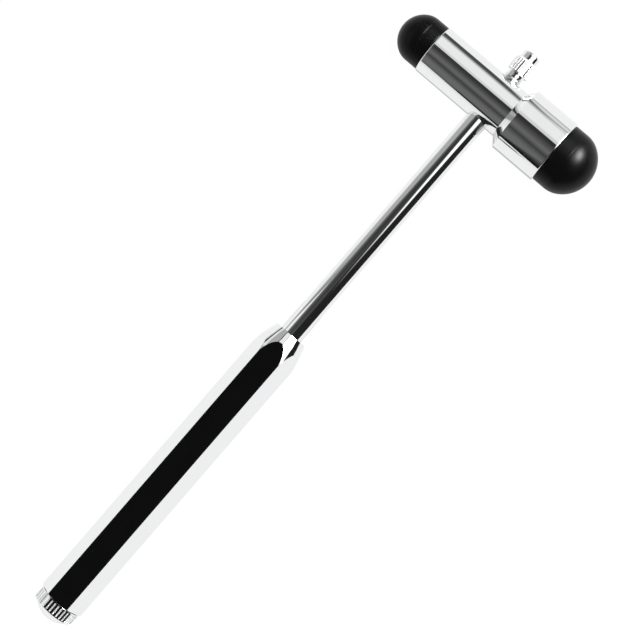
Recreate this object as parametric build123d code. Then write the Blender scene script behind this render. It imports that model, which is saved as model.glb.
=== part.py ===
from build123d import *
import os
from math import atan2, degrees, radians, sqrt, tan

# Percussion hammer for testing tendon reflexes. All lengths are in millimetres.
# A stepped metal head carries a small and a large rubber end. Its stem is set into a
# hexagonal handle. A screw knob on the head holds a needle, which is stored in the stem, and
# a screw cap on the handle's butt holds a brush, which is stored in the handle.
#
# +Y runs along the handle towards the head, +X along the head towards its large end, and +Z
# is up. The hammer lies flat, with its origin under the middle of its outline.

# Metal head. The stem crosses it at the middle of its length.
head_length = 40.0
small_end_diameter = 13.6
large_end_diameter = 18.0
large_end_length = 12.7
shoulder_length = 1.8
head_end_rounding = 0.3

# Rubber ends: each is a skirt and a dome, with a peg that snaps into the head.
small_rubber_diameter = 13.0
small_rubber_skirt = 3.65
small_rubber_dome = 6.0
small_rubber_shoulder = 5.2
large_rubber_diameter = 16.9
large_rubber_skirt = 3.6
large_rubber_dome = 7.7
large_rubber_shoulder = 6.6
rubber_edge_rounding = 0.25
small_peg_diameter = 6.0
large_peg_diameter = 9.0
peg_length = 6.0
peg_bead_height = 0.45
peg_bead_length = 1.8
peg_end_space = 0.5

# Stem: a round bar, drilled from its upper end to hold the needle.
stem_diameter = 6.0
stem_reach_past_head_axis = 1.0
stem_needle_bore = 2.0
needle_tip_space = 3.0
stem_edge_chamfer = 0.3

# Handle: hexagonal bar with a turned crown, drilled from the butt to hold the brush.
head_axis_to_handle = 77.1
handle_length = 88.0
across_flats = 10.9
handle_edge_rounding = 0.15
crown_rim_diameter = 9.0
crown_length = 8.2
crown_curve_radius = 30.0
butt_chamfer_depth = 0.35
butt_chamfer_angle = 30.0
stem_socket_depth = 12.0
chamber_diameter = 8.4
chamber_depth = 72.0
drill_point_angle = 118.0
cutter_overrun = 1.0

# Needle and its screw knob.
knob_neck_diameter = 4.65
knob_neck_length = 2.0
knob_barrel_diameter = 5.75
knob_barrel_length = 4.15
knob_barrel_rim = 0.45
knob_shoulder_length = 0.7
knob_tip_length = 2.1
knob_tip_rounding = 0.7
knob_flute_count = 24
knob_flute_width = 0.4
needle_screw_diameter = 3.0
needle_screw_length = 5.0
needle_diameter = 1.0
needle_length = 26.0
needle_point_length = 3.0
needle_seat_depth = 3.0
screw_hole_countersink = 0.25

# Brush and its screw cap.
cap_diameter = 11.3
cap_band_length = 3.2
cap_ledge_width = 0.65
cap_dome_height = 2.15
cap_edge_chamfer = 0.12
cap_flute_count = 34
cap_flute_width = 0.6
cap_flute_margin = 0.3
brush_screw_diameter = 8.3
brush_screw_length = 5.5
ferrule_diameter = 5.0
ferrule_wall = 0.4
ferrule_length = 12.0
ferrule_seat_depth = 3.0
ferrule_crimp_depth = 0.15
ferrule_crimp_length = 1.2
ferrule_crimp_margin = 1.0
bristle_seat_depth = 6.0
bristle_length = 12.0
bristle_tip_diameter = 6.0
bristle_tip_crown = 0.8
bristle_spread_half_way = 0.4

# Clearances.
braze_gap = 0.05
peg_gap = 0.05
screw_gap = 0.05
pivot_gap = 0.05
seat_gap = 0.05
cap_seat_gap = 0.15

# Lengths that follow from the ones above.
small_end_radius = small_end_diameter / 2
large_end_radius = large_end_diameter / 2
cone_start = head_length / 2 - large_end_length - shoulder_length
cone_stop = head_length / 2 - large_end_length
corner_radius = across_flats / sqrt(3)
butt = head_axis_to_handle + handle_length
knob_seat = small_end_radius + seat_gap
knob_barrel_start = knob_seat + knob_neck_length
knob_barrel_stop = knob_barrel_start + knob_barrel_length
knob_top = knob_barrel_stop + knob_tip_length
needle_screw_end = knob_seat - needle_screw_length
needle_tip = needle_screw_end - needle_length
cap_top = butt + cap_seat_gap
cap_band_end = cap_top + cap_band_length
cap_apex = cap_band_end + cap_dome_height
ferrule_foot = cap_top - brush_screw_length + ferrule_seat_depth
ferrule_mouth = ferrule_foot - ferrule_length

# The three working lines cross at the middle of the head. Each is a plane whose x runs along
# the line, so that a turned outline drawn as (distance, radius) lands on it.
left_reach = head_length / 2 + small_rubber_skirt + small_rubber_dome
right_reach = head_length / 2 + large_rubber_skirt + large_rubber_dome
head_centre = ((left_reach - right_reach) / 2, (cap_apex - knob_top) / 2, large_end_radius)
head_line = Plane(origin=head_centre, x_dir=(1, 0, 0), z_dir=(0, 0, 1))
handle_line = Plane(origin=head_centre, x_dir=(0, -1, 0), z_dir=(0, 0, 1))
needle_line = Plane(origin=head_centre, x_dir=(0, 1, 0), z_dir=(0, 0, 1))


def end_face(side):
    """Plane on one end face of the head, with x pointing out of the head."""
    centre = Vector(*head_centre) + Vector(side * head_length / 2, 0, 0)
    return Plane(origin=centre, x_dir=(side, 0, 0), z_dir=(0, 0, 1))


def turned(*edges):
    """Spin a closed outline of edges round the x axis."""
    return revolve(make_face(edges), Axis.X)


def turned_points(*points):
    """Spin a closed outline of straight lines round the x axis."""
    return turned(*Polyline(*points, close=True).edges())


def bar(start, stop, radius):
    """Round bar along x."""
    return turned_points((start, 0), (start, radius), (stop, radius), (stop, 0))


def drilled(mouth, bottom, radius):
    """Blind hole along x with the cone that a twist drill leaves past its full depth."""
    point = radius / tan(radians(drill_point_angle / 2))
    point = point if bottom > mouth else -point
    return turned_points((mouth, 0), (mouth, radius), (bottom, radius), (bottom + point, 0))


def flutes(radius, count, width, start, stop):
    """Round-bottomed grooves along the x axis, each half as deep as it is wide."""
    groove = Pos(0, 0, radius) * bar(start, stop, width / 2)
    return [Rot(X=360 * turn / count) * groove for turn in range(count)]


def oval_arcs(base, depth, radius, shoulder):
    """Tight shoulder arc, then a wider tip arc, from (base, radius) to (base + depth, 0)."""
    tip = (depth**2 + radius**2 - 2 * radius * shoulder) / (2 * (depth - shoulder))
    joint = degrees(atan2(radius - shoulder, tip - depth))
    return (
        CenterArc((base, radius - shoulder), shoulder, 90, joint - 90),
        CenterArc((base + depth - tip, 0), tip, joint, -joint),
    )


def dome_arc(base, depth, radius):
    """Arc of a shallow sphere from (base, radius) to (base + depth, 0)."""
    height = abs(depth)
    sphere = (radius**2 + height**2) / (2 * height)
    rise = sqrt(sphere**2 - (radius / 2) ** 2) - (sphere - height)
    return ThreePointArc((base, radius), (base + rise * depth / height, radius / 2), (base + depth, 0))


def peg(radius, gap):
    """Peg behind a rubber end, with a round bead half way, or with a gap the hole it snaps into."""
    inner = -peg_length - (peg_end_space if gap else 0)
    wall = radius + gap
    bead_start = -peg_length / 2 + peg_bead_length / 2 + gap
    bead_stop = -peg_length / 2 - peg_bead_length / 2 - gap
    bead_top = (-peg_length / 2, wall + peg_bead_height)
    return turned(
        Line((0, 0), (0, wall)),
        Line((0, wall), (bead_start, wall)),
        ThreePointArc((bead_start, wall), bead_top, (bead_stop, wall)),
        Line((bead_stop, wall), (inner, wall)),
        Line((inner, wall), (inner, 0)),
        Line((inner, 0), (0, 0)),
    )


def make_head():
    """Stepped body: two cylinders with a cone between them, bored from both ends and across."""
    outline = turned_points(
        (-head_length / 2, 0),
        (-head_length / 2, small_end_radius),
        (cone_start, small_end_radius),
        (cone_stop, large_end_radius),
        (head_length / 2, large_end_radius),
        (head_length / 2, 0),
    )
    end_faces = outline.faces().filter_by(Axis.X)
    body = fillet(end_faces.edges(), head_end_rounding)
    body = head_line * body
    body -= end_face(-1) * peg(small_peg_diameter / 2, peg_gap)
    body -= end_face(1) * peg(large_peg_diameter / 2, peg_gap)
    stem_seat = bar(-stem_reach_past_head_axis, large_end_radius, stem_diameter / 2 + braze_gap)
    screw_hole = bar(0, large_end_radius, needle_screw_diameter / 2 + screw_gap)
    rim = needle_screw_diameter / 2 + screw_gap
    countersink = turned_points(
        (small_end_radius - screw_hole_countersink, 0),
        (small_end_radius - screw_hole_countersink, rim),
        (small_end_radius, rim + screw_hole_countersink),
        (large_end_radius, rim + screw_hole_countersink),
        (large_end_radius, 0),
    )
    return body - handle_line * stem_seat - needle_line * (screw_hole + countersink)


def make_rubber_end(side, diameter, skirt, dome, shoulder, peg_diameter):
    """Rubber end: a straight skirt on the head's face, an oval dome and the peg behind."""
    radius = diameter / 2
    edge = rubber_edge_rounding
    body = turned(
        Line((0, 0), (0, radius - edge)),
        CenterArc((edge, radius - edge), edge, 180, -90),
        Line((edge, radius), (skirt, radius)),
        *oval_arcs(skirt, dome, radius, shoulder),
        Line((skirt + dome, 0), (0, 0)),
    )
    return end_face(side) * (body + peg(peg_diameter / 2, 0))


def make_stem():
    """Round bar from its seat in the head to its socket in the handle."""
    upper = -stem_reach_past_head_axis
    lower = head_axis_to_handle + stem_socket_depth
    body = bar(upper, lower, stem_diameter / 2)
    body = chamfer(body.edges().filter_by(GeomType.CIRCLE), stem_edge_chamfer)
    return handle_line * (body - drilled(upper, needle_tip_space - needle_tip, stem_needle_bore / 2))


def make_handle():
    """Hexagonal bar cut by a turned crown, whose arches climb each flat to the round rim."""
    hexagon = RegularPolygon(across_flats / 2, 6, major_radius=False)
    prism = extrude(Plane.YZ.offset(head_axis_to_handle) * hexagon, handle_length)
    prism = fillet(prism.edges().filter_by(Axis.X), handle_edge_rounding)
    rim_radius = crown_rim_diameter / 2
    crown_end = head_axis_to_handle + crown_length
    clear_radius = corner_radius + cutter_overrun
    chamfer_length = (cutter_overrun + butt_chamfer_depth) * tan(radians(butt_chamfer_angle))
    turning = turned(
        Line((head_axis_to_handle, 0), (head_axis_to_handle, rim_radius)),
        RadiusArc((head_axis_to_handle, rim_radius), (crown_end, corner_radius), crown_curve_radius),
        Line((crown_end, corner_radius), (crown_end, clear_radius)),
        Line((crown_end, clear_radius), (butt - chamfer_length, clear_radius)),
        Line((butt - chamfer_length, clear_radius), (butt, corner_radius - butt_chamfer_depth)),
        Line((butt, corner_radius - butt_chamfer_depth), (butt, 0)),
        Line((butt, 0), (head_axis_to_handle, 0)),
    )
    body = prism & turning
    socket_floor = head_axis_to_handle + stem_socket_depth
    body -= bar(head_axis_to_handle, socket_floor, stem_diameter / 2 + braze_gap)
    body -= drilled(butt, butt - chamber_depth, chamber_diameter / 2)
    return handle_line * body


def make_needle_knob():
    """Screw knob: screw, neck, fluted barrel with a plain rim, and a smooth rounded tip."""
    neck_radius = knob_neck_diameter / 2
    barrel_radius = knob_barrel_diameter / 2
    screw_radius = needle_screw_diameter / 2
    shoulder = knob_barrel_stop - knob_shoulder_length
    rounding = (knob_top - knob_tip_rounding, neck_radius - knob_tip_rounding)
    body = turned(
        Line((needle_screw_end, 0), (needle_screw_end, screw_radius)),
        Line((needle_screw_end, screw_radius), (knob_seat, screw_radius)),
        Line((knob_seat, screw_radius), (knob_seat, neck_radius)),
        Line((knob_seat, neck_radius), (knob_barrel_start, neck_radius)),
        Line((knob_barrel_start, neck_radius), (knob_barrel_start, barrel_radius)),
        Line((knob_barrel_start, barrel_radius), (shoulder, barrel_radius)),
        Line((shoulder, barrel_radius), (knob_barrel_stop, neck_radius)),
        Line((knob_barrel_stop, neck_radius), (rounding[0], neck_radius)),
        CenterArc(rounding, knob_tip_rounding, 90, -90),
        Line((knob_top, rounding[1]), (knob_top, 0)),
        Line((knob_top, 0), (needle_screw_end, 0)),
    )
    flute_start = knob_barrel_start + knob_barrel_rim
    body -= flutes(barrel_radius, knob_flute_count, knob_flute_width, flute_start, knob_barrel_stop)
    seat_floor = needle_screw_end + needle_seat_depth + pivot_gap
    needle_hole = bar(needle_screw_end, seat_floor, needle_diameter / 2 + pivot_gap)
    return needle_line * (body - needle_hole)


def make_needle_pin():
    """Straight needle with a conical point, set into the end of the knob's screw."""
    radius = needle_diameter / 2
    return needle_line * turned_points(
        (needle_screw_end + needle_seat_depth, 0),
        (needle_screw_end + needle_seat_depth, radius),
        (needle_tip + needle_point_length, radius),
        (needle_tip, 0),
    )


def make_brush_cap():
    """Screw cap: screw, fluted band and a dome inside a narrow ledge."""
    radius = cap_diameter / 2
    dome_radius = radius - cap_ledge_width
    edge = cap_edge_chamfer
    screw_radius = brush_screw_diameter / 2
    screw_end = cap_top - brush_screw_length
    body = turned(
        Line((screw_end, 0), (screw_end, screw_radius)),
        Line((screw_end, screw_radius), (cap_top, screw_radius)),
        Line((cap_top, screw_radius), (cap_top, radius - edge)),
        Line((cap_top, radius - edge), (cap_top + edge, radius)),
        Line((cap_top + edge, radius), (cap_band_end - edge, radius)),
        Line((cap_band_end - edge, radius), (cap_band_end, radius - edge)),
        Line((cap_band_end, radius - edge), (cap_band_end, dome_radius)),
        dome_arc(cap_band_end, cap_dome_height, dome_radius),
        Line((cap_apex, 0), (screw_end, 0)),
    )
    flute_start = cap_top + cap_flute_margin
    flute_stop = cap_band_end - cap_flute_margin
    body -= flutes(radius, cap_flute_count, cap_flute_width, flute_start, flute_stop)
    ferrule_hole = bar(screw_end, ferrule_foot + pivot_gap, ferrule_diameter / 2 + pivot_gap)
    return handle_line * (body - ferrule_hole)


def make_brush_ferrule():
    """Drawn cup, crimped by one round groove, that grips the bristles."""
    outer = ferrule_diameter / 2
    inner = outer - ferrule_wall
    crimp_start = ferrule_mouth + ferrule_crimp_margin
    crimp_stop = crimp_start + ferrule_crimp_length
    crimp_bottom = ((crimp_start + crimp_stop) / 2, outer - ferrule_crimp_depth)
    cup = turned(
        Line((ferrule_mouth, inner), (ferrule_mouth, outer)),
        Line((ferrule_mouth, outer), (crimp_start, outer)),
        ThreePointArc((crimp_start, outer), crimp_bottom, (crimp_stop, outer)),
        Line((crimp_stop, outer), (ferrule_foot, outer)),
        Line((ferrule_foot, outer), (ferrule_foot, 0)),
        Line((ferrule_foot, 0), (ferrule_foot - ferrule_wall, 0)),
        Line((ferrule_foot - ferrule_wall, 0), (ferrule_foot - ferrule_wall, inner)),
        Line((ferrule_foot - ferrule_wall, inner), (ferrule_mouth, inner)),
    )
    return handle_line * cup


def make_brush_bristles():
    """Round tuft: straight inside the ferrule, then spreading to a slightly crowned tip."""
    root_radius = ferrule_diameter / 2 - ferrule_wall - peg_gap
    tip_radius = bristle_tip_diameter / 2
    foot = ferrule_mouth + bristle_seat_depth
    tip = ferrule_mouth - bristle_length
    edge = tip + bristle_tip_crown
    half_way_radius = root_radius + (tip_radius - root_radius) * bristle_spread_half_way
    half_way = ((ferrule_mouth + edge) / 2, half_way_radius)
    tuft = turned(
        Line((foot, 0), (foot, root_radius)),
        Line((foot, root_radius), (ferrule_mouth, root_radius)),
        ThreePointArc((ferrule_mouth, root_radius), half_way, (edge, tip_radius)),
        dome_arc(edge, -bristle_tip_crown, tip_radius),
        Line((tip, 0), (foot, 0)),
    )
    return handle_line * tuft


parts = {
    "head_body": make_head(),
    "small_rubber_end": make_rubber_end(
        side=-1,
        diameter=small_rubber_diameter,
        skirt=small_rubber_skirt,
        dome=small_rubber_dome,
        shoulder=small_rubber_shoulder,
        peg_diameter=small_peg_diameter,
    ),
    "large_rubber_end": make_rubber_end(
        side=1,
        diameter=large_rubber_diameter,
        skirt=large_rubber_skirt,
        dome=large_rubber_dome,
        shoulder=large_rubber_shoulder,
        peg_diameter=large_peg_diameter,
    ),
    "stem": make_stem(),
    "handle": make_handle(),
    "needle_knob": make_needle_knob(),
    "needle_pin": make_needle_pin(),
    "brush_cap": make_brush_cap(),
    "brush_ferrule": make_brush_ferrule(),
    "brush_bristles": make_brush_bristles(),
}

os.makedirs("parts", exist_ok=True)
for name, solid in parts.items():
    export_step(solid, f"parts/{name}.step")
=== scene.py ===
# %% [markdown]
# # A reflex hammer, dressed around its imported frame
# The hammer is turned and milled metal under bright chrome plate, with two moulded rubber
# ends. Its shape is settled in the imported model, so this lesson is mostly about surfaces:
# how plate, rubber, brass and nylon answer the light, and which small forms are too fine for
# the imported solids, such as screw threads, rolled edges and a brush's filaments.
#
# The first cell loads the frame, and defines how to measure a node's box.

# %% Load the frame
import math

import bpy
import numpy as np
from mathutils import Matrix, Vector


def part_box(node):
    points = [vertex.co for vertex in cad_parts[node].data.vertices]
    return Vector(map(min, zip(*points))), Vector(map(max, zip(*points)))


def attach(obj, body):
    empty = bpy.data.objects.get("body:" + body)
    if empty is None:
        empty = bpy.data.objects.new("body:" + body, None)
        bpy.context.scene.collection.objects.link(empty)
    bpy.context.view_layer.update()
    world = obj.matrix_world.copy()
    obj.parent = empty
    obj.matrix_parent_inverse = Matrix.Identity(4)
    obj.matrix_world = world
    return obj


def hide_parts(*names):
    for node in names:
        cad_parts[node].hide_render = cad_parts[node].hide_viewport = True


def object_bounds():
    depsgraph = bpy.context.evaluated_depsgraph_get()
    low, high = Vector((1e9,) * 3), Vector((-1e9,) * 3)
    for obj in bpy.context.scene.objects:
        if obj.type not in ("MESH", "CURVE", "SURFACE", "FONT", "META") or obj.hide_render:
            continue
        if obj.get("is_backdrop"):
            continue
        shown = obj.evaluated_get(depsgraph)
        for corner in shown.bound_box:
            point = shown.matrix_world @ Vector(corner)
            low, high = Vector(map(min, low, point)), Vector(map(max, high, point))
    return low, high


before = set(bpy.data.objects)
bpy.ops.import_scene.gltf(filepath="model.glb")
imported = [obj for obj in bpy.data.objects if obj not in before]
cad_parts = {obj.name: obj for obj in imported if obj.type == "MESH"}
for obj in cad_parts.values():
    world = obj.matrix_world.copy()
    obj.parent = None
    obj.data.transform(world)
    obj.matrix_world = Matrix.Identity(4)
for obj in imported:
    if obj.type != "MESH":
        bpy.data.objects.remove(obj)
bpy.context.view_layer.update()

# %% [markdown]
# ## Where things are
# Every later piece is placed from one measured point, the middle of the head's box. Two lines
# run through it: the head is turned about one along X, and everything else lies on one along
# Y. The nodes' vertices also tell where the hammer touches the table.

# %% Measure the frame
def points_of(*nodes):
    """All vertices of some nodes, as one array of points in metres."""
    clouds = []
    for node in nodes:
        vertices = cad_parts[node].data.vertices
        cloud = np.zeros(3 * len(vertices))
        vertices.foreach_get("co", cloud)
        clouds.append(cloud.reshape(-1, 3))
    return np.concatenate(clouds)


head_low, head_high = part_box("head_body")
head_centre = np.array((head_low + head_high) / 2)
handle_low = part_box("handle")[0]
print("head centre in mm", np.round(1000 * head_centre, 3))

# %% [markdown]
# ## The table
# Laid down, the hammer doesn't lie level. It touches the table at three places: under the
# small end of the head, under the inner corner of its large end, and at a corner of the
# handle's butt. The loop below starts with the lowest point of each of those three places,
# lays a plane through them, and looks again for the lowest points along the plane's own
# upward direction. After a few turns nothing changes, and that plane is the table top.

# %% Find the table top
def table_under(groups, turns=6):
    """Upward direction and contact points of the plane that three groups of points rest on.
    up = cross(b - a, c - a) / length, where a, b and c are the groups' lowest points along up."""
    up = np.array([0.0, 0.0, 1.0])
    for turn in range(turns):
        contacts = np.array([group[np.argmin(group @ up)] for group in groups])
        square = np.cross(contacts[1] - contacts[0], contacts[2] - contacts[0])
        up = square / np.linalg.norm(square) * np.sign(square[2])
    return up, contacts


head_points = points_of("head_body")
butt_points = points_of("handle", "brush_cap")
small_side = head_points[head_points[:, 0] < head_centre[0] - 0.01]
large_side = head_points[head_points[:, 0] > head_centre[0] + 0.005]
butt_side = butt_points[butt_points[:, 1] < handle_low.y + 0.005]
table_up, table_contacts = table_under([small_side, large_side, butt_side])
table_level = table_contacts[0] @ table_up

table_x = np.array([1.0, 0.0, 0.0]) - table_up[0] * table_up
table_x /= np.linalg.norm(table_x)
table_y = np.cross(table_up, table_x)
lean = math.degrees(math.asin(table_up[0]))
pitch = math.degrees(math.asin(table_up[1]))
print(f"the hammer leans {lean:.2f} degrees and pitches {pitch:.2f} degrees on the table")


def on_table(x, y, height=0.0):
    """Point x and y metres from the head's centre along the table, at a height above it."""
    base = head_centre + x * table_x + y * table_y
    return base + (table_level + height - base @ table_up) * table_up


# %% [markdown]
# ## The camera
# The picture is taken from straight above the table with a long lens, so the hammer shows
# almost no perspective. The camera stands over the top of the handle, a little to the side
# of the head's large end, and it is turned so that the handle runs across the picture from
# lower left to upper right.

# %% Set the camera
lens_length = 120.0
camera_height = 0.540
camera_over = (0.00314, -0.06965)
picture_turn = math.radians(40.95)

camera_data = bpy.data.cameras.new("camera")
camera_data.lens = lens_length
camera_data.sensor_width = 36.0
camera_data.clip_start = 0.01
camera_data.clip_end = 20.0
camera = bpy.data.objects.new("camera", camera_data)
bpy.context.scene.collection.objects.link(camera)

camera_right = math.cos(picture_turn) * table_x + math.sin(picture_turn) * table_y
camera_top = np.cross(table_up, camera_right)
camera_turn = Matrix([camera_right, camera_top, table_up]).transposed()
camera.matrix_world = Matrix.Translation(on_table(*camera_over, camera_height)) @ camera_turn.to_4x4()
bpy.context.scene.camera = camera
print("camera at", [round(x, 4) for x in camera.location])

# %% [markdown]
# ## Shader sums
# A material here is a formula over the surface. A small class wraps the output of a shader
# node, and its operators add the Math nodes, so that a pattern can be written the way it is
# thought of: one mask times another, plus a little noise. Everything that isn't plain
# arithmetic comes from one method, which takes the node's type, its settings and its inputs.

# %% Wire and Tree
class Wire:
    """One output of a shader node. Arithmetic on it adds Math nodes to its tree."""

    def __init__(self, tree, output):
        self.tree = tree
        self.output = output

    def maths(self, operation, first, second):
        return self.tree.add("ShaderNodeMath", {"operation": operation}, {0: first, 1: second})

    def __add__(self, other):
        return self.maths("ADD", self, other)

    def __sub__(self, other):
        return self.maths("SUBTRACT", self, other)

    def __rsub__(self, other):
        return self.maths("SUBTRACT", other, self)

    def __mul__(self, other):
        return self.maths("MULTIPLY", self, other)

    def __truediv__(self, other):
        return self.maths("DIVIDE", self, other)

    def __pow__(self, other):
        return self.maths("POWER", self, other)

    __radd__ = __add__
    __rmul__ = __mul__


class Tree:
    """The node tree of a material or of the world, started empty."""

    def __init__(self, owner):
        owner.use_nodes = True
        self.nodes = owner.node_tree.nodes
        self.links = owner.node_tree.links
        self.nodes.clear()

    def add(self, kind, settings=None, inputs=None, output=0):
        """A node of this kind with its settings, then its inputs, as the wire of one output."""
        node = self.nodes.new(kind)
        for name, value in (settings or {}).items():
            if name == "stops":
                self.set_stops(node.color_ramp, value)
            else:
                setattr(node, name, value)
        for name, value in (inputs or {}).items():
            if isinstance(value, Wire):
                self.links.new(value.output, node.inputs[name])
            else:
                node.inputs[name].default_value = value
        return Wire(self, node.outputs[output]) if node.outputs else node

    def set_stops(self, ramp, stops):
        """Stops of a colour ramp as (position, grey level) pairs."""
        while len(ramp.elements) > 1:
            ramp.elements.remove(ramp.elements[-1])
        for index, (position, level) in enumerate(stops):
            element = ramp.elements[0] if index == 0 else ramp.elements.new(position)
            element.position = position
            element.color = grey(level)

    def step(self, value, low, high):
        """0 below low, 1 above high, and a smooth rise between them."""
        inputs = {"Value": value, "From Min": low, "From Max": high}
        return self.add("ShaderNodeMapRange", {"interpolation_type": "SMOOTHSTEP"}, inputs)

    def noise(self, place, scale, detail=2.0, roughness=0.5):
        """Smooth noise from 0 to 1 over a place."""
        inputs = {"Vector": place, "Scale": scale, "Detail": detail, "Roughness": roughness}
        return self.add("ShaderNodeTexNoise", None, inputs)

    def mix(self, factor, first, second):
        """Colour that runs from the first to the second with the factor."""
        settings = {"data_type": "RGBA"}
        return self.add("ShaderNodeMix", settings, {0: factor, 6: first, 7: second}, output=2)

    def surface(self, kind, inputs):
        """A shader of this kind with its inputs, joined to the material's output."""
        shader = self.add(kind, None, inputs)
        self.add("ShaderNodeOutputMaterial", None, {"Surface": shader})


def grey(level):
    """Opaque colour with the same level in red, green and blue."""
    return (level, level, level, 1.0)


# %% [markdown]
# ## The studio
# Chrome has no colour of its own to speak of: what is drawn on it is the room. The room here
# is a plain product table. Below is a white table top, behind it a white wall that stops at a
# dark gap, to the left a grey wall, and in front and overhead the unlit room, which is what
# makes the long dark bands in the plate. A large soft lamp hangs high on the right.
#
# The room is painted on the world, and only glossy rays see it. The camera sees plain white,
# and matt surfaces are lit by an even grey. The next cells build it up from angles:
#
# - the side angle turns round the handle's line, from straight up towards the large end;
# - the back angle turns round the head's line, from straight up towards the knob;
# - the rise is how far a direction leans towards the knob, out of the side angle's circle;
# - the elevation is its height over the horizon.
#
# A long bar lying along the table shows one rise all over and every side angle, so what is
# painted by rise and side angle runs along the stem. The head lies across it, and there the
# back angle does the same. All angles are in degrees.

# %% Helpers for a painted room
world = bpy.data.worlds.new("studio")
bpy.context.scene.world = world
tree = Tree(world)
direction = tree.add("ShaderNodeTexCoord", output="Generated")
one_radian = math.degrees(1.0)


def along(axis):
    """How far a ray's direction goes along an axis, as their dot product."""
    settings = {"operation": "DOT_PRODUCT"}
    return tree.add("ShaderNodeVectorMath", settings, {0: direction, 1: axis}, output="Value")


def angle_of(first, second):
    """Angle in degrees whose tangent is the first wire over the second."""
    return tree.add("ShaderNodeMath", {"operation": "ARCTAN2"}, {0: first, 1: second}) * one_radian


def ramp_by(angle, *stops):
    """Value between (angle in degrees, value) stops, joined by straight lines. A colour ramp only
    holds levels from 0 to 1, so the values are scaled into that span and back again."""
    start, stop = stops[0][0], stops[-1][0]
    low = min(value for place, value in stops)
    span = max(value for place, value in stops) - low
    share = tree.add("ShaderNodeMapRange", None, {"Value": angle, "From Min": start, "From Max": stop})
    pairs = [((place - start) / (stop - start), (value - low) / span) for place, value in stops]
    return tree.add("ShaderNodeValToRGB", {"stops": pairs}, {"Fac": share}) * span + low


def band(value, start, stop, soft):
    """1 between two angles, with an edge that is soft over some degrees."""
    return tree.step(value, start - soft / 2, start + soft / 2) * (
        1 - tree.step(value, stop - soft / 2, stop + soft / 2)
    )


def arc_sine(value):
    """Angle in degrees whose sine is the wire."""
    return tree.add("ShaderNodeMath", {"operation": "ARCSINE"}, {0: value}) * one_radian


def over(below, mask, above):
    """The wire above where the mask is 1, and the wire below where it is 0."""
    return below * (1 - mask) + mask * above


sideways, backwards, upwards = along(table_x), along(table_y), along(table_up)
side_angle = angle_of(sideways, upwards)
back_angle = angle_of(backwards, upwards)
rise = arc_sine(backwards)
elevation = arc_sine(upwards)

# %% [markdown]
# In front and overhead the room is unlit, but not quite black. Two paler patches of it, with
# a dark line between them, show along the middle of the head. The room's left part, which
# the small cylinder shows, is a little different from its right part, so there are two ramps.
# High on the right of the handle nothing is lit at all.

# %% Paint the unlit room
left_limit, right_limit = -0.096, -0.086
left_part = 1 - tree.step(sideways, left_limit, right_limit)

unlit_left = ramp_by(
    back_angle,
    (-107, 0.04), (-94, 0.05), (-70, 0.155), (-55, 0.15), (-41, 0.075), (-36, 0.045), (-31, 0.09),
    (-21, 0.15), (-8, 0.08), (4, 0.03), (10, 0.02),
)
unlit_right = ramp_by(
    back_angle,
    (-107, 0.017), (-78, 0.012), (-62, 0.085), (-48, 0.095), (-30, 0.04), (-25, 0.055), (-13, 0.165),
    (0, 0.06), (12, 0.018),
)
unlit = unlit_right + left_part * (unlit_left - unlit_right)
darkest_level = 0.012
room = over(unlit, tree.step(side_angle, 6, 12), darkest_level)

# %% [markdown]
# The left wall is grey. Its edge is nearer to the handle high up, and beside the edge the
# unlit room is a bit paler. Near the horizon the wall's lower part turns white, along a foot
# line that isn't quite level, with a shaded strip above it. Higher up it has a pale stripe
# with a dark line beside it.

# %% Paint the left wall
high = tree.step(rise, 8, 12)
wall_edge = ramp_by(
    rise, (-90, -49), (0.6, -49), (2.2, -46), (3.3, -41), (4.5, -38), (7, -31), (15, -28), (90, -28)
)
past_edge = side_angle - wall_edge
pale_strip, dim_strip = 0.13, 0.03
dusk = band(past_edge, 3, 10, 2) * pale_strip + band(past_edge, 10, 22, 4) * dim_strip
room = room + dusk * (1 - tree.step(rise, 7, 9)) * tree.step(rise, -20, -15)

grey_wall = ramp_by(side_angle, (-100, 0.75), (-88, 0.62), (-78, 0.50), (-70, 0.46), (-38, 0.48))
foot_height, foot_slope, foot_middle = -0.65, 0.042, -50
over_wall_foot = rise - foot_height - foot_slope * (side_angle - foot_middle)
white_foot = 1 - tree.step(over_wall_foot, -0.25, 0.25)
white_foot_level = 1 - 0.62 * band(side_angle, -85, -76, 3)
shade = band(over_wall_foot, 0.1, 1.1, 0.5) * band(side_angle, -85, -54, 8) * 0.42
low_wall = over(grey_wall * (1 - shade), white_foot, white_foot_level)
high_wall = grey_wall + band(side_angle, -76, -64, 4) * 0.45
high_wall = high_wall * (1 - 0.95 * band(side_angle, -84, -78, 2))
left_wall = (1 - tree.step(past_edge, -2.5, 2.5)) * (1 - tree.step(rise, 48, 52))
room = over(room, left_wall, over(low_wall, high, high_wall))

# %% [markdown]
# The wall behind the table is white. Low down only a strip of it shows, and above a rise of
# about 54 degrees it fills the whole width. A dark gap runs along its top on the left. On the
# right the gap is only hinted at, by two faint lines and a slight shade.

# %% Paint the wall behind
wall_level = 0.98
full_width = tree.step(rise, 52, 56)
strip = band(side_angle, -26, 0, 1.5)
wall_start = tree.step(back_angle + 3 * left_part, 16, 18.5) * tree.step(rise, 10, 12)
wall_behind = wall_start * over(strip, full_width, 1)

gap_end = 1 - tree.step(back_angle, 88.5, 91.5)
left_shade = 0.22 * band(back_angle, 13, 24, 5) + 0.93 * tree.step(back_angle, 56, 76) * gap_end
right_shade = 0.77 * band(back_angle, 12, 24, 3) + 0.20 * band(back_angle, 47, 90, 4)
faint_lines = 0.45 * band(back_angle, 69.5, 73, 1.5) + 0.30 * band(back_angle, 84.5, 88, 1.5)
right_shade = right_shade + faint_lines
wall_shade = right_shade + left_part * (left_shade - right_shade)
room = over(room, wall_behind, wall_level * (1 - wall_shade))
edge_line = band(side_angle, -30.5, -26, 1.5) * high * (1 - full_width)
room = room * (1 - 0.93 * edge_line)

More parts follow.
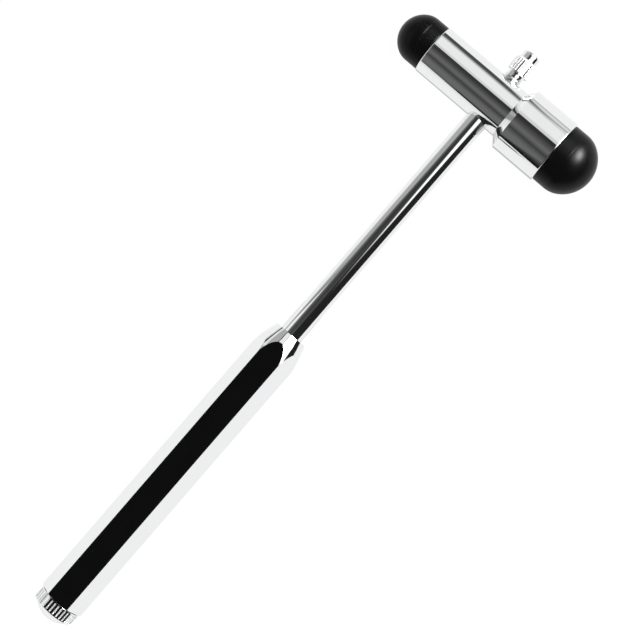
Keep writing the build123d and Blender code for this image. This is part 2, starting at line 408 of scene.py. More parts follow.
# %% [markdown]
# The lamp is a large softbox with a hot middle. Its lower edge dips in the middle, and it is
# this dip, seen from the side, that narrows the white streak along the stem. The hot middle
# is a bell curve over both angles: exp(-(side distance squared + rise distance squared)).

# %% Paint the lamp
lamp_foot = ramp_by(
    side_angle,
    (-12, 9.0), (-2, 6.4), (5, 3.9), (9, 2.4), (12, 1.4), (15, 0.5), (20, -0.6), (24, -1.0),
    (27, -0.6), (30, 0.6), (33, 2.8), (38, 4.3), (57, 6.5), (60, 9.0),
)
over_foot = rise - lamp_foot
lamp_left = ramp_by(rise, (0, -6), (7, -2), (10, 0), (24, 4), (60, 5))
lamp_shown = tree.step(over_foot, -0.3, 0.4) * tree.step(side_angle - lamp_left, -1, 1)
lamp_shown = lamp_shown * (1 - tree.step(side_angle, 52, 60)) * (1 - tree.step(rise, 70, 74))

panel = ramp_by(over_foot, (0, 0.06), (0.8, 0.20), (1.4, 0.45), (2.2, 0.95), (4, 1.4), (30, 1.6))
core_side, core_rise = 29, 40
core_width, core_height = 14, 15
core_level = 110
spread = ((side_angle - core_side) / core_width) ** 2 + ((rise - core_rise) / core_height) ** 2
core = tree.add("ShaderNodeMath", {"operation": "EXPONENT"}, {0: spread * -1})
room = over(room, lamp_shown, panel + core_level * core)

# %% [markdown]
# Below the horizon glossy rays see the white table top. In front its edge lies some degrees
# under the horizon, and close to where the head touches the table it is in shade.

# %% Paint the table below, and mix the world
table_white = 1.03
contact_shade = 0.42
front = 1 - tree.step(rise, -66, -60)
over_table_edge = elevation + 10.5 + 5.5 * left_part
table_shown = (1 - tree.step(elevation, -0.8, 0)) * (1 - front * tree.step(over_table_edge, -3, 3))
contact = (1 - tree.step(back_angle, -152, -138)) * (1 - tree.step(elevation, -66, -56))
room = over(room, table_shown, table_white * (1 - contact_shade * contact))

ambient_level = 0.42
is_camera = tree.add("ShaderNodeLightPath", output="Is Camera Ray")
is_glossy = tree.add("ShaderNodeLightPath", output="Is Glossy Ray")
is_clear = tree.add("ShaderNodeLightPath", output="Is Transmission Ray")
even_light = tree.add("ShaderNodeBackground", None, {"Color": grey(ambient_level)})
painted_room = tree.add("ShaderNodeBackground", None, {"Color": room})
white = tree.add("ShaderNodeBackground", None, {"Color": grey(1.0)})
seen = tree.add("ShaderNodeMixShader", None, {0: is_glossy, 1: even_light, 2: painted_room})
seen = tree.add("ShaderNodeMixShader", None, {0: is_camera + is_clear, 1: seen, 2: white})
tree.add("ShaderNodeOutputWorld", None, {"Surface": seen})
bpy.context.scene.view_settings.view_transform = "Standard"

# %% [markdown]
# The table top is white card. It takes the lamp's light and the hammer's shadow as any card
# does, and for the camera most of its level comes from its own whiteness, so that it meets
# the white behind it with no edge. Glossy rays pass it by, because they see the painted one.

# %% Lay the table top
table_reach = 2.0
own_white = 0.96

corners = [on_table(x, y) for x, y in ((-1, -1), (1, -1), (1, 1), (-1, 1))]
corners = [table_reach * (corner - on_table(0, 0)) + on_table(0, 0) for corner in corners]
table_mesh = bpy.data.meshes.new("table_top")
table_mesh.from_pydata([tuple(corner) for corner in corners], [], [(0, 1, 2, 3)])
table_top = bpy.data.objects.new("table_top", table_mesh)
bpy.context.scene.collection.objects.link(table_top)
table_top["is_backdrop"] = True
table_top.visible_glossy = False

card = bpy.data.materials.new("white_card")
tree = Tree(card)
place = tree.add("ShaderNodeTexCoord", output="Object")
fleck = tree.noise(place, 900.0)
lit = tree.add("ShaderNodeBsdfDiffuse", None, {"Color": tree.mix(fleck, grey(0.88), grey(0.90))})
glow = tree.add("ShaderNodeEmission", None, {"Color": grey(1.02)})
is_camera = tree.add("ShaderNodeLightPath", output="Is Camera Ray")
is_clear = tree.add("ShaderNodeLightPath", output="Is Transmission Ray")
tree.surface("ShaderNodeMixShader", {0: own_white * (is_camera + is_clear), 1: lit, 2: glow})
table_mesh.materials.append(card)

# %% [markdown]
# A flat face is the hardest part of chrome to light, because it shows one small patch of the
# room. A photographer holds a black card just above it, and here one hangs over the handle.
# Only glossy rays meet it, so it throws no shadow.

# %% Hang the black card
def stage_sheet(name, corners, height, material):
    """Flat sheet over the table, from corners along the table's own axes."""
    mesh = bpy.data.meshes.new(name)
    mesh.from_pydata([tuple(on_table(x, y, height)) for x, y in corners], [], [(0, 1, 2, 3)])
    mesh.materials.append(material)
    sheet = bpy.data.objects.new(name, mesh)
    bpy.context.scene.collection.objects.link(sheet)
    sheet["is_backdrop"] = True
    return sheet


velvet = bpy.data.materials.new("black_velvet")
tree = Tree(velvet)
tree.surface("ShaderNodeEmission", {"Color": grey(0.0035)})
card_corners = ((-0.034, -0.182), (0.013, -0.182), (0.013, -0.0795), (-0.017, -0.0795))
card_height = 0.030
black_card = stage_sheet("black_card", card_corners, card_height, velvet)
for ray_kind in ("camera", "diffuse", "transmission", "volume_scatter", "shadow"):
    setattr(black_card, "visible_" + ray_kind, False)

# %% [markdown]
# The soft lamp that the room shows also lights the matt surfaces and throws the shadow. The
# panel itself is hidden from glossy rays, because its reflection is already painted. A weak
# second panel on the left keeps the shadow open.

# %% Hang the lamps
def hang_lamp(name, side, ahead, distance, width, height, power):
    """Panel of light at two angles from straight up, that faces the middle of the hammer.
    Its direction is (tan side, tan ahead, 1) along the table's own axes."""
    middle = on_table(*camera_over)
    aim = math.tan(math.radians(side)) * table_x
    aim = aim + math.tan(math.radians(ahead)) * table_y + table_up
    aim /= np.linalg.norm(aim)
    data = bpy.data.lights.new(name, "AREA")
    data.shape = "RECTANGLE"
    data.size = width
    data.size_y = height
    data.energy = power
    lamp = bpy.data.objects.new(name, data)
    turn = Vector(aim).to_track_quat("Z", "Y").to_matrix()
    lamp.matrix_world = Matrix.Translation(middle + distance * aim) @ turn.to_4x4()
    lamp.visible_glossy = False
    bpy.context.scene.collection.objects.link(lamp)


hang_lamp("soft_lamp", side=27, ahead=32, distance=0.75, width=0.40, height=0.60, power=5.0)
hang_lamp("fill_lamp", side=-55, ahead=-10, distance=0.90, width=0.60, height=0.60, power=1.2)

# %% [markdown]
# ## Chrome plate
# Decorative chrome is a layer under a thousandth of a millimetre thick over polished nickel.
# It is a mirror with a slightly blue-grey tint, and it never is a perfect one: the polishing
# wheel leaves a faint waviness, handling leaves hairlines, and the plate gets a little milky
# where it was thick. So the base is a metal whose roughness wanders a little, with fine
# hairlines in the roughness, and a very low bump for the waviness.

# %% Make the chrome
def chrome_plate(name, tone, haze, roughness, grain, wave_height, satin_and_painted_sheen=0.0):
    """Chrome whose hairlines run along one axis.
    haze is the share of milky plate, grain the stretch of the hairlines along X, Y and Z, and
    the last argument how rough and milky the floors of its flutes are; it also paints their colour
    pale grey, a painted sheen that stands in for the bright room reflected there."""
    material = bpy.data.materials.new(name)
    tree = Tree(material)
    place = tree.add("ShaderNodeTexCoord", output="Object")
    hair_place = tree.add("ShaderNodeMapping", None, {"Vector": place, "Scale": grain})
    hairs = tree.step(tree.noise(hair_place, 2600.0, detail=3.0, roughness=0.6), 0.60, 0.72)
    clouds = tree.noise(place, 170.0, detail=3.0)
    waves = tree.noise(place, 260.0, detail=1.0)
    colour = tree.mix(clouds, tuple(0.97 * c for c in tone) + (1.0,), (*tone, 1.0))
    height = waves + 0.02 * hairs
    milk = haze * (0.7 + 0.6 * clouds)
    shine = roughness * (0.7 + 0.6 * clouds) + 0.05 * hairs
    if satin_and_painted_sheen:
        depth = tree.add("ShaderNodeAttribute", {"attribute_name": "groove"}, output="Fac")
        groove = tree.step(depth, 0.05, 0.35)
        # Painted sheen: in the flute floors the metal is reduced and the colour turned pale grey, so
        # that they look white as if they reflected the bright room. Their extra roughness is the satin
        # of unpolished plate.
        milk = milk + satin_and_painted_sheen * groove
        shine = shine + 0.30 * groove
        colour = tree.mix(groove, colour, grey(0.92))
    bump = tree.add("ShaderNodeBump", None, {"Strength": 1.0, "Distance": wave_height, "Height": height})
    inputs = {"Base Color": colour, "Metallic": 1.0 - milk, "Roughness": shine, "Normal": bump}
    tree.surface("ShaderNodeBsdfPrincipled", inputs)
    return material


chrome_tone = (0.835, 0.840, 0.845)
along_head, along_handle, no_grain = (1.0, 0.04, 0.04), (1.0, 0.04, 1.0), (1.0, 1.0, 1.0)
head_chrome = chrome_plate("head_chrome", chrome_tone, 0.008, 0.035, along_head, 0.0000015)
stem_chrome = chrome_plate("stem_chrome", chrome_tone, 0.006, 0.03, along_handle, 0.0000004)
handle_chrome = chrome_plate("handle_chrome", chrome_tone, 0.002, 0.02, along_handle, 0.000001)
# The knob's and the cap's flute floors get a painted sheen, a pale grey colour in place of a reflection.
knob_chrome = chrome_plate("knob_chrome", chrome_tone, 0.01, 0.05, no_grain, 0.0000005, satin_and_painted_sheen=0.5)
cap_chrome = chrome_plate("cap_chrome", chrome_tone, 0.006, 0.04, no_grain, 0.0000005, satin_and_painted_sheen=0.7)


def coat_node(node, material):
    """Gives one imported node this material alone."""
    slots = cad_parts[node].data.materials
    slots.clear()
    slots.append(material)


coat_node("head_body", head_chrome)
coat_node("stem", stem_chrome)
coat_node("handle", handle_chrome)

# %% [markdown]
# ## Rubber
# The ends are moulded from black rubber. The mould was finely blasted, which leaves a faint
# bloom on the skin. Rubber reflects only weakly, so all that shows on it is the lamp, as a
# soft spot.

# %% Make the rubber
def moulded_rubber(name):
    """Black rubber with a fine blasted skin and a faint grey bloom."""
    material = bpy.data.materials.new(name)
    tree = Tree(material)
    place = tree.add("ShaderNodeTexCoord", output="Object")
    skin = tree.noise(place, 6000.0, detail=3.0)
    bloom = tree.noise(place, 260.0, detail=4.0, roughness=0.6)
    colour = tree.mix(bloom, (0.0025, 0.0025, 0.0027, 1.0), (0.005, 0.005, 0.0053, 1.0))
    bump = tree.add("ShaderNodeBump", None, {"Strength": 0.6, "Distance": 0.00001, "Height": skin})
    inputs = {"Base Color": colour, "Roughness": 0.26 + 0.08 * bloom, "Normal": bump}
    tree.surface("ShaderNodeBsdfPrincipled", {**inputs, "Specular IOR Level": 0.08})
    return material


black_rubber = moulded_rubber("black_rubber")

# %% [markdown]
# ## Needle, brass and nylon
# The needle is ground steel: along its shank the wheel left fine rings, and it is a little
# darker and softer in its shine than plate. The ferrule is drawn brass with no plate on it,
# so it has gone a bit dull and brown in places. The filaments are natural nylon.

# %% Make the needle steel, the brass and the nylon
def ground_steel(name):
    """Steel with fine grinding rings round the needle."""
    material = bpy.data.materials.new(name)
    tree = Tree(material)
    place = tree.add("ShaderNodeTexCoord", output="Object")
    ring_place = tree.add("ShaderNodeMapping", None, {"Vector": place, "Scale": (0.02, 1.0, 0.02)})
    rings = tree.noise(ring_place, 9000.0, detail=3.0, roughness=0.7)
    colour = tree.mix(rings, (0.52, 0.53, 0.55, 1.0), (0.66, 0.66, 0.67, 1.0))
    bump = tree.add("ShaderNodeBump", None, {"Strength": 0.5, "Distance": 0.000004, "Height": rings})
    inputs = {"Base Color": colour, "Metallic": 1.0, "Roughness": 0.16 + 0.12 * rings, "Normal": bump}
    tree.surface("ShaderNodeBsdfPrincipled", inputs)
    return material


def dull_brass(name):
    """Drawn brass: drawing lines along the cup, and brown clouds of tarnish."""
    material = bpy.data.materials.new(name)
    tree = Tree(material)
    place = tree.add("ShaderNodeTexCoord", output="Object")
    line_place = tree.add("ShaderNodeMapping", None, {"Vector": place, "Scale": (1.0, 0.05, 1.0)})
    drawn = tree.noise(line_place, 5200.0, detail=3.0, roughness=0.6)
    clouds = tree.step(tree.noise(place, 420.0, detail=4.0, roughness=0.6), 0.42, 0.68)
    colour = tree.mix(clouds, (0.72, 0.50, 0.20, 1.0), (0.42, 0.26, 0.10, 1.0))
    bump = tree.add("ShaderNodeBump", None, {"Strength": 0.6, "Distance": 0.000006, "Height": drawn})
    inputs = {
        "Base Color": colour,
        "Metallic": 1.0 - 0.15 * clouds,
        "Roughness": 0.24 + 0.14 * clouds + 0.05 * drawn,
        "Normal": bump,
    }
    tree.surface("ShaderNodeBsdfPrincipled", inputs)
    return material


def natural_nylon(name):
    """Off-white nylon whose shade differs a little from filament to filament."""
    material = bpy.data.materials.new(name)
    tree = Tree(material)
    place = tree.add("ShaderNodeTexCoord", output="Object")
    strand_place = tree.add("ShaderNodeMapping", None, {"Vector": place, "Scale": (1.0, 0.05, 1.0)})
    strands = tree.noise(strand_place, 4200.0, detail=1.0)
    colour = tree.mix(strands, (0.50, 0.46, 0.36, 1.0), (0.74, 0.71, 0.62, 1.0))
    inputs = {"Base Color": colour, "Roughness": 0.34 + 0.12 * strands}
    tree.surface("ShaderNodeBsdfPrincipled", inputs)
    return material


needle_steel = ground_steel("needle_steel")
drawn_brass = dull_brass("drawn_brass")
nylon = natural_nylon("nylon")
coat_node("needle_pin", needle_steel)

# %% [markdown]
# ## Turned pieces
# Nearly everything on the hammer was made on a lathe: the head, the knob, the cap, the brush's
# ferrule, and even the moulds of the rubber ends. A turned piece could be a modelled curve
# with a Screw modifier, but then a thread or a flute would need a boolean. It is simpler to
# work out the skin on a grid: rows follow an outline of distance along the axis and radius,
# columns go round, and a small function may change the radius at each point of the grid.
#
# Outlines are written as corners. On real metal no corner is perfectly sharp, and on chrome
# it is the small rounding that draws the bright edge line, so each corner has its own
# rounding radius.

# %% Outlines with rounded corners
millimetre = 0.001


def outline(*corners, steps=5):
    """Outline through corners of (distance, radius, rounding, rows), all lengths in millimetres.
    A rounding becomes a circular arc that touches both sides. Its centre is on the corner's
    bisector at rounding / sin(half angle), and its points are a spherical blend from the first
    touching point to the second. rows is the number of parts of the side that follows."""
    places = np.array([corner[:2] for corner in corners], float)
    points = [places[:1]]
    for index in range(1, len(corners) - 1):
        rounding = corners[index][2] if len(corners[index]) > 2 else 0.0
        here = places[index]
        if rounding == 0.0:
            points.append(here[None])
            continue
        back = places[index - 1] - here
        ahead = places[index + 1] - here
        back /= np.linalg.norm(back)
        ahead /= np.linalg.norm(ahead)
        opening = math.acos(np.clip(back @ ahead, -1, 1))
        middle = (back + ahead) / np.linalg.norm(back + ahead)
        centre = here + middle * rounding / math.sin(opening / 2)
        first = here + back * rounding / math.tan(opening / 2) - centre
        last = here + ahead * rounding / math.tan(opening / 2) - centre
        sweep = math.pi - opening
        share = np.linspace(0, 1, steps + 1)[:, None]
        arc = (np.sin((1 - share) * sweep) * first + np.sin(share * sweep) * last) / math.sin(sweep)
        points.append(centre + arc)
    points.append(places[-1:])
    return densified(points, corners)


def densified(points, corners):
    """Joins the pieces of an outline, and cuts each side between two corners into equal rows."""
    rows = [points[0]]
    for index in range(1, len(points)):
        parts = corners[index - 1][3] if len(corners[index - 1]) > 3 else 1
        share = np.linspace(0, 1, parts + 1)[1:-1, None]
        start = rows[-1][-1]
        rows.append(start + share * (points[index][0] - start))
        rows.append(points[index])
    return np.concatenate(rows) * millimetre


def dome_rows(base, depth, radius, shoulder, steps=28):
    """Points of a rubber dome: a tight shoulder arc, then a wider tip arc that meets it smoothly.
    tip radius = (depth² + radius² - 2 radius shoulder) / (2 (depth - shoulder))."""
    tip = (depth**2 + radius**2 - 2 * radius * shoulder) / (2 * (depth - shoulder))
    joint = math.atan2(radius - shoulder, tip - depth)
    turn_out = np.linspace(math.pi / 2, joint, steps // 2)[:-1]
    turn_in = np.linspace(joint, 0, steps)
    shoulder_height = radius - shoulder + shoulder * np.sin(turn_out)
    first = np.stack([base + shoulder * np.cos(turn_out), shoulder_height], 1)
    last = np.stack([base + depth - tip + tip * np.cos(turn_in), tip * np.sin(turn_in)], 1)
    return np.concatenate([first, last]) * millimetre


# %% Skins on a grid
lines = {
    "head": (np.array([1.0, 0.0, 0.0]), np.array([0.0, 0.0, 1.0])),
    "needle": (np.array([0.0, 1.0, 0.0]), np.array([0.0, 0.0, 1.0])),
    "handle": (np.array([0.0, -1.0, 0.0]), np.array([0.0, 0.0, 1.0])),
}


def even_turn(columns):
    """Angles of equal columns round an axis, in radians."""
    return np.arange(columns) * (2 * math.pi / columns)


def around(line, distance, radius, turn):
    """Points at a distance along a working line, a radius from it and a turn round it:
    centre + distance along + radius (cos(turn) up + sin(turn) across)."""
    along_line, first = lines[line]
    across = np.cross(along_line, first)
    ring = np.cos(turn)[..., None] * first + np.sin(turn)[..., None] * across
    return head_centre + distance[..., None] * along_line + radius[..., None] * ring


def ring_quads(rows, columns):
    """Corner numbers of the quads of a closed grid, wound so that the faces point outwards."""
    row, column = np.meshgrid(np.arange(rows - 1), np.arange(columns), indexing="ij")
    beside = (column + 1) % columns
    near, far = row * columns, (row + 1) * columns
    corners = (near + column, near + beside, far + beside, far + column)
    return np.stack(corners, -1).reshape(-1, 4)


def make_piece(name, points, faces, body, nodes, material, crease=32.0):
    """Puts points and faces into a mesh, smooths it but for its creases, and gives it its finish."""
    mesh = bpy.data.meshes.new(name)
    mesh.from_pydata(points.tolist(), [], [list(map(int, face)) for group in faces for face in group])
    mesh.validate()
    mesh.shade_smooth()
    mesh.set_sharp_from_angle(angle=math.radians(crease))
    mesh.materials.append(material)
    piece = bpy.data.objects.new(name, mesh)
    bpy.context.scene.collection.objects.link(piece)
    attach(piece, body)
    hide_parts(*nodes)
    print(name, len(mesh.polygons), "faces")
    return piece


def turned_skin(line, rows, turn, shape=None):
    """Points and faces of a turned skin whose outline starts and ends on the axis.
    shape(distance, radius, turn) may change the radius at each point of the grid."""
    distance, angle = np.meshgrid(rows[1:-1, 0], turn, indexing="ij")
    radius = np.repeat(rows[1:-1, 1:2], len(turn), axis=1)
    if shape:
        radius = shape(distance, radius, angle)
    skin = around(line, distance, radius, angle).reshape(-1, 3)
    poles = around(line, rows[[0, -1], 0], np.zeros(2), np.zeros(2))
    count, columns = len(rows) - 2, len(turn)
    column = np.arange(columns)
    beside = (column + 1) % columns
    first_pole, last_pole = len(skin), len(skin) + 1
    last_row = (count - 1) * columns
    first_fan = np.stack([np.full(columns, first_pole), beside, column], -1)
    last_fan = np.stack([np.full(columns, last_pole), last_row + column, last_row + beside], -1)
    return np.concatenate([skin, poles]), [ring_quads(count, columns), first_fan, last_fan]


# %% [markdown]
# ## The rubber ends
# Each end is a skirt that meets the head's face, an oval dome, and behind it a peg with a bead
# that snaps into the head. Where the two halves of the mould met, just at the foot of the
# dome, a hair-thin line of rubber stands up all round.

# %% Mould the rubber ends
def rubber_end(name, side, face, radius, skirt, dome, shoulder, peg_radius):
    """Turned rubber end on a face of the head, which is given in metres from the middle, with side
    -1 for the small end. All other distances run outwards from that face, in millimetres."""
    line_height = 0.03
    peg_rows = outline(
        (-6.0, 0.0),
        (-6.0, peg_radius, 0.4, 2),
        (-4.0, peg_radius, 0.3),
        (-3.4, peg_radius + 0.43, 0.3),
        (-2.6, peg_radius + 0.43, 0.3),
        (-2.0, peg_radius, 0.3, 2),
        (0.0, peg_radius, 0.0, 2),
        (0.0, radius, 0.25, 8),
        (skirt - 0.12, radius, 0.02),
        (skirt - 0.05, radius + line_height, 0.02),
        (skirt + 0.02, radius, 0.0),
        (skirt + 0.03, radius, 0.0),
    )
    rows = np.concatenate([peg_rows[:-1], dome_rows(skirt + 0.03, dome - 0.03, radius, shoulder)])
    rows[:, 0] += face
    turn = even_turn(128)
    if side < 0:
        rows = rows[::-1].copy()
        rows[:, 0] *= -1
    points, faces = turned_skin("head", rows, turn)
    make_piece(name + "_skin", points, faces, "hammer", [name], black_rubber)


half_head = 20.0 * millimetre
small_sizes = {"radius": 6.5, "skirt": 3.65, "dome": 6.0, "shoulder": 5.2, "peg_radius": 3.0}
large_sizes = {"radius": 8.45, "skirt": 3.6, "dome": 7.7, "shoulder": 6.6, "peg_radius": 4.5}
rubber_end("small_rubber_end", -1, half_head, **small_sizes)
rubber_end("large_rubber_end", 1, half_head, **large_sizes)

# %% [markdown]
# ## The knob
# The knob that carries the needle is turned with a fine screw below it, a plain neck, a
# barrel and a smooth rounded tip. The barrel's flutes are cut along it so that fingers can
# grip it. A flute is a round-bottomed groove, so its depth across is the height of a circle:
# depth = root of (half width squared - offset squared). The columns of the grid crowd towards
# the flute's edges, where that curve is steepest.

# %% Threads and flutes
def thread(distance, turn, start, stop, pitch, depth):
    """How far a thread's groove sinks in: a triangle wave along the axis that moves on by one
    pitch a turn, flat at crest and root, faded to nothing at both ends of the screw."""
    phase = distance / pitch - turn / (2 * math.pi)
    height = np.abs(2 * (phase - np.floor(phase)) - 1)
    groove = 1 - np.clip((height - 0.25) / 0.62, 0, 1)
    fade_in = np.clip((distance - start) / (0.8 * pitch), 0, 1)
    fade_out = np.clip((stop - distance) / (0.8 * pitch), 0, 1)
    return depth * groove * fade_in * fade_out


def fluted_turn(count, radius, half_width, inside=9, land=3):
    """Angles round a fluted band: in each flute offset = half width x sine of even steps, and
    the land between two flutes is cut into equal parts."""
    offset = half_width * np.sin(np.linspace(-math.pi / 2, math.pi / 2, inside))
    pitch = 2 * math.pi * radius / count
    plain = half_width + (pitch - 2 * half_width) * np.arange(1, land) / land
    one = np.concatenate([offset, plain]) / radius
    return (np.arange(count)[:, None] * 2 * math.pi / count + one[None, :]).ravel()


def flute_depth(turn, count, radius, half_width):
    """Depth of the round-bottomed flutes at each angle."""
    pitch = 2 * math.pi / count
    offset = (np.mod(turn + pitch / 2, pitch) - pitch / 2) * radius
    return np.sqrt(np.clip(half_width**2 - offset**2, 0, None))


def mark_grooves(piece, line, start, stop, radius, depth):
    """Vertex attribute that is 0 on the lands of a fluted band and 1 on the floor of a flute:
    (band radius - distance from the axis) / flute depth."""
    points = np.zeros(3 * len(piece.data.vertices))
    piece.data.vertices.foreach_get("co", points)
    offsets = points.reshape(-1, 3) - head_centre
    place = offsets @ lines[line][0] / millimetre
    on_axis = np.outer(place * millimetre, lines[line][0])
    from_axis = np.linalg.norm(offsets - on_axis, axis=1) / millimetre
    in_band = (place > start) & (place < stop)
    groove = piece.data.attributes.new("groove", "FLOAT", "POINT")
    sunk = np.clip((radius - from_axis) / depth, 0, 1)
    groove.data.foreach_set("value", np.where(in_band, sunk, 0.0))


# %% Turn the knob
barrel_radius, tip_radius = 2.875, 2.325
knob_flutes, knob_radius, knob_half_flute = 24, barrel_radius * millimetre, 0.2 * millimetre
knob_seat = 6.85
barrel = knob_seat + 2.0
barrel_end = barrel + 4.15
knob_pitch, knob_thread_depth = 0.5, 0.28


def knob_shape(distance, radius, turn):
    """Thread on the screw, and flutes on the barrel that run out in its shoulder."""
    in_screw = (distance < (knob_seat - 0.02) * millimetre) & (radius > 1.2 * millimetre)
    screw = np.array([1.95, knob_seat - 0.35, knob_pitch, knob_thread_depth]) * millimetre
    sunk = thread(distance, turn, *screw)
    radius = radius - in_screw * sunk
    start = (barrel + 0.45) * millimetre
    ramp = np.clip((distance - start) / knob_half_flute + 1, 0, 1)
    run_in = np.sqrt(1 - (1 - ramp) ** 2)
    floor = knob_radius - flute_depth(turn, knob_flutes, knob_radius, knob_half_flute) * run_in
    in_barrel = distance > start - knob_half_flute
    return np.where(in_barrel, np.minimum(radius, floor), radius)


knob_rows = outline(
    (4.9, 0.0),
    (4.9, 0.55, 0.0, 3),
    (1.85, 0.55, 0.08),
    (1.85, 1.5, 0.3, 78),
    (knob_seat, 1.5, 0.06),
    (knob_seat, 1.92, 0.05, 3),
    (knob_seat + 0.40, tip_radius, 0.05, 3),
    (barrel, tip_radius, 0.10, 2),
    (barrel, barrel_radius, 0.14, 2),
    (barrel + 0.24, barrel_radius, 0.0, 7),
    (barrel + 0.46, barrel_radius, 0.0, 8),
    (barrel + 3.45, barrel_radius, 0.12, 9),
    (barrel_end, tip_radius, 0.08, 4),
    (barrel + 6.25, tip_radius, 0.7, 3),
    (barrel + 6.25, 0.0),
    steps=6,
)
knob_turn = fluted_turn(knob_flutes, knob_radius, knob_half_flute)
points, faces = turned_skin("needle", knob_rows, knob_turn, knob_shape)
knob = make_piece("needle_knob_skin", points, faces, "knob", ["needle_knob"], knob_chrome)
mark_grooves(knob, "needle", barrel + 0.2, barrel_end - 0.15, barrel_radius, 0.2)

# %% [markdown]
# ## The cap
# The brush's cap is made in the same way, larger: a screw, a fluted band with a bevel at each
# edge, a narrow ledge, and a shallow dome. Its flutes stop short of both edges, so the mill
# left a rounded end on each. The plating bath never polishes the floor of a flute, so it stays
# satin while the lands between the flutes shine. The floor is also painted a pale, less metallic
# grey, a painted sheen that stands in for the bright room reflected in it. A vertex attribute
# marks how deep in a flute each point is, and the chrome reads it.

# %% Turn the cap
band_radius, screw_radius, dome_radius = 5.65, 4.15, 4.9
cap_flutes, cap_radius, cap_half_flute = 34, band_radius * millimetre, 0.2 * millimetre
cap_top = 165.25
cap_foot = cap_top + 3.2
cap_pitch, cap_thread_depth = 0.75, 0.42


def cap_shape(distance, radius, turn):
    """Thread on the screw, and flutes on the band whose ends are rounded."""
    in_screw = (distance < (cap_top - 0.02) * millimetre) & (radius > 3.5 * millimetre)
    screw = np.array([cap_top - 5.35, cap_top - 0.5, cap_pitch, cap_thread_depth]) * millimetre
    sunk = thread(distance, turn, *screw)
    radius = radius - in_screw * sunk
    start, stop = (cap_top + 0.3) * millimetre, (cap_foot - 0.3) * millimetre
    inside = np.minimum(distance - start, stop - distance) / cap_half_flute
    run_in = np.sqrt(1 - (1 - np.clip(inside, 0, 1)) ** 2)
    in_band = (distance > start) & (distance < stop)
    return radius - in_band * flute_depth(turn, cap_flutes, cap_radius, cap_half_flute) * run_in


def dome_profile(base, height, radius, steps=18):
    """Rows of a shallow spherical dome: sphere radius = (radius² + height²) / (2 height)."""
    sphere = (radius**2 + height**2) / (2 * height)
    turn = np.linspace(math.asin(radius / sphere), 0, steps)
    distance = base - (sphere - height) + sphere * np.cos(turn)
    return np.stack([distance, sphere * np.sin(turn)], 1) * millimetre


cap_rows = np.concatenate([
    outline(
        (cap_top - 2.45, 0.0),
        (cap_top - 2.45, 2.55, 0.0, 4),
        (cap_top - 5.5, 2.55, 0.1),
        (cap_top - 5.5, screw_radius, 0.4, 58),
        (cap_top, screw_radius, 0.1),
        (cap_top, band_radius, 0.16),
        (cap_top + 0.3, band_radius, 0.0, 7),
        (cap_top + 0.6, band_radius, 0.0, 5),
        (cap_foot - 0.6, band_radius, 0.0, 7),
        (cap_foot - 0.3, band_radius, 0.0),
        (cap_foot, band_radius, 0.16),
        (cap_foot, 5.0, 0.05),
        (cap_foot + 0.05, dome_radius, 0.0),
    ),
    dome_profile(cap_foot + 0.05, 2.10, dome_radius)[1:],
])
cap_turn = fluted_turn(cap_flutes, cap_radius, cap_half_flute)
points, faces = turned_skin("handle", cap_rows, cap_turn, cap_shape)
cap = make_piece("brush_cap_skin", points, faces, "cap", ["brush_cap"], cap_chrome)
mark_grooves(cap, "handle", cap_top + 0.2, cap_foot - 0.2, band_radius, 0.2)

# %% [markdown]
# ## The brush
# The brush is a drawn brass cup, squeezed round a tuft of nylon by one crimp. Its mouth is
# rolled smooth, so that it doesn't cut the filaments.

# %% Draw the ferrule
ferrule_radius, mouth_radius, crimp_radius = 2.5, 2.1, 2.36
ferrule_foot = cap_top - 2.5
ferrule_mouth = ferrule_foot - 12.0
crimp = ferrule_mouth + 1.6
ferrule_rows = outline(
    (ferrule_foot - 0.4, 0.0),
    (ferrule_foot - 0.4, mouth_radius, 0.2, 6),
    (ferrule_mouth, mouth_radius, 0.19),
    (ferrule_mouth, ferrule_radius, 0.19, 2),
    (crimp - 0.5, ferrule_radius, 0.25),
    (crimp - 0.12, crimp_radius, 0.2),
    (crimp + 0.12, crimp_radius, 0.2),
    (crimp + 0.5, ferrule_radius, 0.25, 8),
    (ferrule_foot, ferrule_radius, 0.3, 3),
    (ferrule_foot, 0.0),
)
points, faces = turned_skin("handle", ferrule_rows, even_turn(96))
make_piece("brush_ferrule_skin", points, faces, "brush", ["brush_ferrule"], drawn_brass)

# %% [markdown]
# The filaments stand parallel in the cup and spread above it. Each one is a thin tube of a few
# rings. They are laid out like the seeds of a sunflower, which fills a round cup evenly:
# radius = cup radius x root of (number / count), turn = number x golden angle.

# %% Set the bristles
filament_count = 300
golden_angle = math.pi * (3 - math.sqrt(5))
filament_radius = 0.085 * millimetre
cup_radius, tuft_radius, tuft_length = 1.95, 2.85, 12.0
bristle_draw = np.random.default_rng(11)

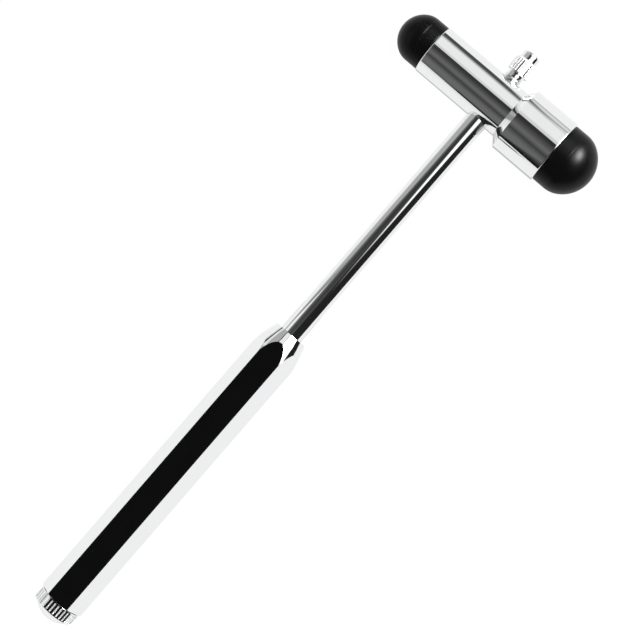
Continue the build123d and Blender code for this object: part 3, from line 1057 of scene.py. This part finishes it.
number = np.arange(filament_count)
share_out = np.sqrt((number + 0.5) / filament_count)
root_turn = number * golden_angle
root_place = cup_radius * share_out[:, None] * np.stack([np.cos(root_turn), np.sin(root_turn)], 1)
tip_place = tuft_radius * share_out[:, None] * np.stack([np.cos(root_turn), np.sin(root_turn)], 1)
tip_place += bristle_draw.normal(0, 0.07, (filament_count, 2))
tip_drop = tuft_length - 0.75 * share_out**2 - bristle_draw.uniform(0.0, 0.35, filament_count)
bend = bristle_draw.normal(0, 0.05, (filament_count, 2))

ring_share = np.array([-0.5, 0.0, 0.2, 0.45, 0.72, 0.97, 1.0])
spread = np.clip(ring_share, 0, 1)
spread = 0.6 * spread + 0.4 * spread**2
ring_width = np.array([1.0, 1.0, 1.0, 1.0, 0.98, 0.9, 0.35])
sides = even_turn(5)

in_cup = root_place[:, None, :] + spread[None, :, None] * (tip_place - root_place)[:, None, :]
in_cup += np.sin(math.pi * np.clip(ring_share, 0, 1))[None, :, None] * bend[:, None, :]
distance = ferrule_mouth - ring_share[None, :] * tip_drop[:, None]
circle = np.stack([np.cos(sides), np.sin(sides)], 1)
tube = in_cup[:, :, None, :] * millimetre + (ring_width[None, :, None, None] * filament_radius * circle)
along_line, first = lines["handle"]
across = np.cross(along_line, first)
tube_points = (
    head_centre
    + (distance * millimetre)[:, :, None, None] * along_line
    + tube[..., :1] * first
    + tube[..., 1:] * across
)
rings, ring_sides = len(ring_share), len(sides)
per_tube = rings * ring_sides
one_tube = ring_quads(rings, ring_sides)[:, ::-1]
shift = (np.arange(filament_count) * per_tube)[:, None, None]
tube_faces = (one_tube[None] + shift).reshape(-1, 4)
root_cap = (np.arange(ring_sides)[None, :] + shift[:, 0]).reshape(-1, ring_sides)
last_ring = np.arange(per_tube - ring_sides, per_tube)[::-1]
tip_cap = (last_ring[None, :] + shift[:, 0]).reshape(-1, ring_sides)
make_piece(
    "brush_bristle_filaments",
    tube_points.reshape(-1, 3),
    [tube_faces, root_cap, tip_cap],
    "brush",
    ["brush_bristles"],
    nylon,
    crease=60.0,
)

# %% Measure the sizes
low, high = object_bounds()
